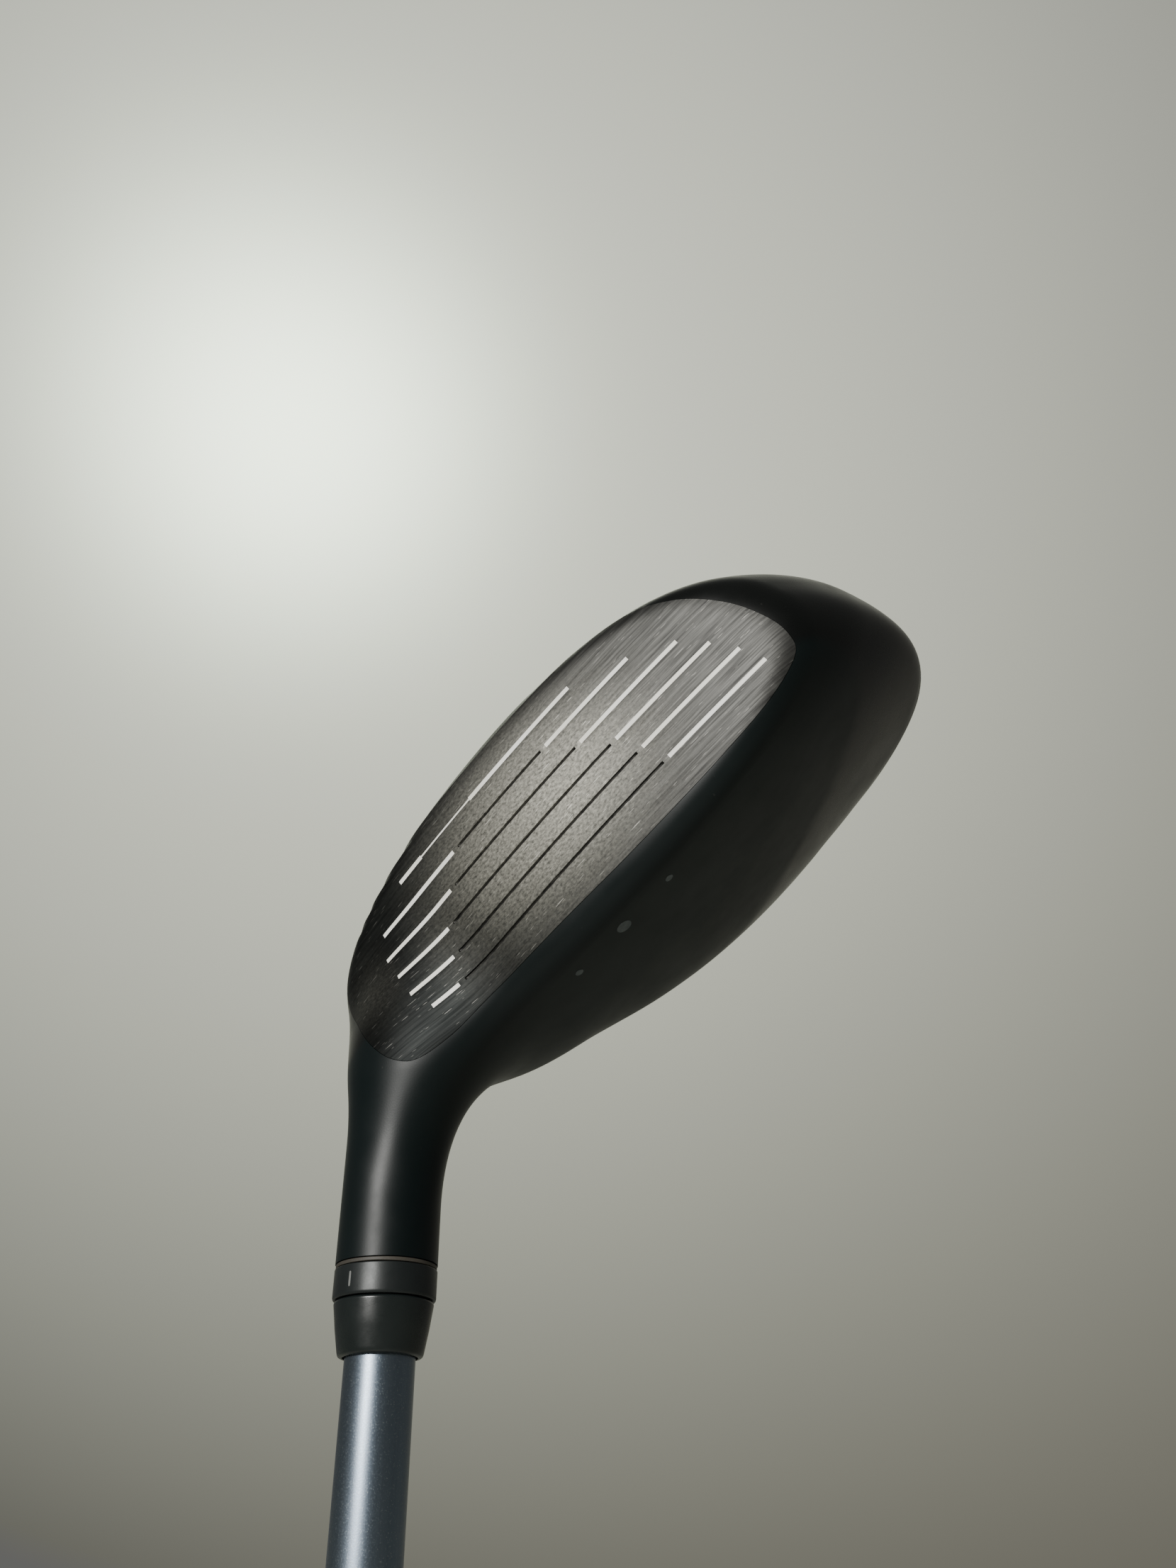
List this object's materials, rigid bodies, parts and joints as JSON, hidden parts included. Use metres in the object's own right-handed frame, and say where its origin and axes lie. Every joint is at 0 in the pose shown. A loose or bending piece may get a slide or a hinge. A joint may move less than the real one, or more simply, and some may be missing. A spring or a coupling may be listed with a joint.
{
  "type": "hybrid golf club",
  "caption": "Right-handed hybrid golf club: rubber grip, tapered shaft, screw-on adjustable hosel and a compact black head with a grooved steel face.",
  "frame": {"origin": "centre of the grip's butt end", "axes": "+Z along the shaft from the butt to the head, +X towards the toe's side, -Y the way the face looks"},
  "size_m": [0.0945, 0.0716, 1.039],
  "materials": {
    "rubber": "matte",
    "cap_plastic": "matte",
    "tape": "matte",
    "foam": "matte",
    "shaft_paint": "satin metallic paint on graphite",
    "brass": "plain",
    "anodised": "satin black anodised",
    "seal": "matte",
    "ferrule_plastic": "satin",
    "steel": "satin",
    "tungsten": "plain",
    "head_paint": "satin black",
    "face_steel": "brushed"
  },
  "bodies": {
    "shaft_assembly": {"grip": "rubber", "grip_cap": "cap_plastic", "grip_tape": "tape", "butt_plug": "foam", "shaft": "shaft_paint", "tip_plug": "brass", "hosel_sleeve": "anodised", "ferrule": "ferrule_plastic"},
    "seal": {"seal_ring": "seal"},
    "head": {"head_body": "head_paint", "crown_plate": "head_paint", "face_plate": "face_steel", "sole_plate": "steel", "tungsten_slug": "tungsten", "damping_pad": "foam", "screw_retainer": "steel"},
    "washer": {"screw_washer": "steel"},
    "screw": {"hosel_screw": "steel"}
  },
  "joints": [
    {"name": "head_turn", "type": "hinge", "parent": "shaft_assembly", "child": "seal", "pos_m": [0, 0, 0.945], "axis": [0, 0, 1], "continuous": true},
    {"name": "head_pull_off", "type": "slide", "parent": "seal", "child": "head", "axis": [0, 0, 1], "range_m": [0, 0.045]},
    {"name": "screw_travel", "type": "slide", "parent": "head", "child": "washer", "axis": [0, 0, 1], "range_m": [0, 0.005]},
    {"name": "screw_turn", "type": "hinge", "parent": "washer", "child": "screw", "pos_m": [0, 0, 0.9804], "axis": [0, 0, 1], "range_deg": [0, 2251]}
  ],
  "couplings": [
    {"joint": "screw_turn", "follows": "screw_travel", "rad_per_m": 7854}
  ]
}
